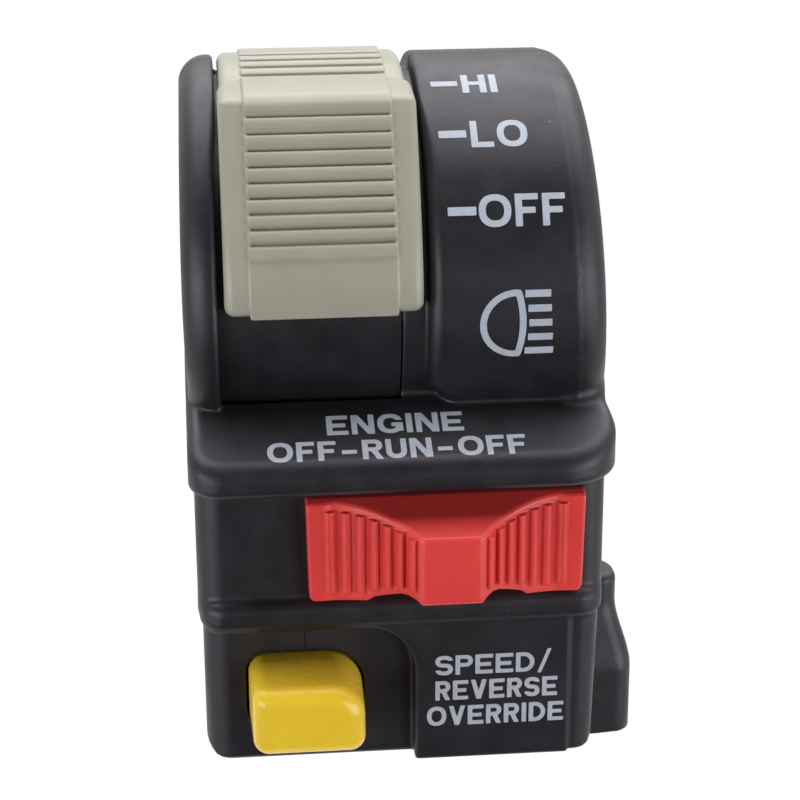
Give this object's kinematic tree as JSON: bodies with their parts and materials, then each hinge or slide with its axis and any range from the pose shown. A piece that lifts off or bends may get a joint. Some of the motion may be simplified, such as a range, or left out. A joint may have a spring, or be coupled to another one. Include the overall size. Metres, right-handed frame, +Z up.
{
  "type": "handlebar switch cluster",
  "caption": "Left handlebar switch cluster: split drum clamp with a ribbed headlamp slide, a red engine-stop slide under a thumb shelf and a yellow spring-return button.",
  "frame": {"origin": "on the handlebar axis, at the middle of the clamp's width", "axes": "+X along the bar towards the rider's right, +Y forwards away from the rider, +Z up"},
  "size_m": [0.052, 0.0549, 0.0815],
  "materials": {
    "housing_plastic": "fine moulded texture, satin black",
    "track_plastic": "satin black",
    "cap_plastic": "satin grey ivory",
    "knob_plastic": "semi-gloss red",
    "button_plastic": "gloss yellow",
    "inner_plastic": "plain moulded",
    "board": "brown laminate",
    "brass": "stamped",
    "steel": "zinc plated",
    "rubber": "matt black"
  },
  "bodies": {
    "housing": {"rear_housing": "housing_plastic", "front_housing": "housing_plastic", "clamp_screws": "steel", "harness_grommet": "rubber", "slide_track": "track_plastic", "light_board": "board", "light_pads": "brass", "light_board_screws": "steel", "stop_board": "board", "stop_pads": "brass", "stop_board_screws": "steel", "override_base": "board", "override_contacts": "brass", "override_screws": "steel", "override_spring": "steel"},
    "lamp_slide": {"light_cap": "cap_plastic", "light_carrier": "inner_plastic", "light_detent_spring": "steel", "light_wiper": "brass", "light_wiper_spring": "steel"},
    "lamp_ball": {"light_detent_ball": "steel"},
    "stop_slide": {"stop_knob": "knob_plastic", "stop_carrier": "inner_plastic", "stop_detent_spring": "steel", "stop_wiper": "brass", "stop_wiper_springs": "steel"},
    "stop_ball": {"stop_detent_ball": "steel"},
    "override": {"override_button": "button_plastic", "override_bridge": "brass"}
  },
  "joints": [
    {"name": "headlamp_slide", "type": "hinge", "parent": "housing", "child": "lamp_slide", "pos_m": [0, 0, 0], "axis": [-1, 0, 0], "range_deg": [-21, 20]},
    {"name": "headlamp_detent", "type": "slide", "parent": "lamp_slide", "child": "lamp_ball", "axis": [-1, 0, 0], "range_m": [0, 0.0004], "stiffness_N_per_m": 100, "springref_m": 0.002, "deforming": ["light_detent_spring"]},
    {"name": "engine_stop_slide", "type": "slide", "parent": "housing", "child": "stop_slide", "axis": [1, 0, 0], "range_m": [-0.0102, 0]},
    {"name": "engine_stop_detent", "type": "slide", "parent": "stop_slide", "child": "stop_ball", "axis": [0, 0, -1], "range_m": [0, 0.0004], "stiffness_N_per_m": 100, "springref_m": 0.002, "deforming": ["stop_detent_spring"]},
    {"name": "override_press", "type": "slide", "parent": "housing", "child": "override", "axis": [0, 1, 0], "range_m": [0, 0.0025], "stiffness_N_per_m": 200, "springref_m": -0.004, "deforming": ["override_spring"]}
  ]
}
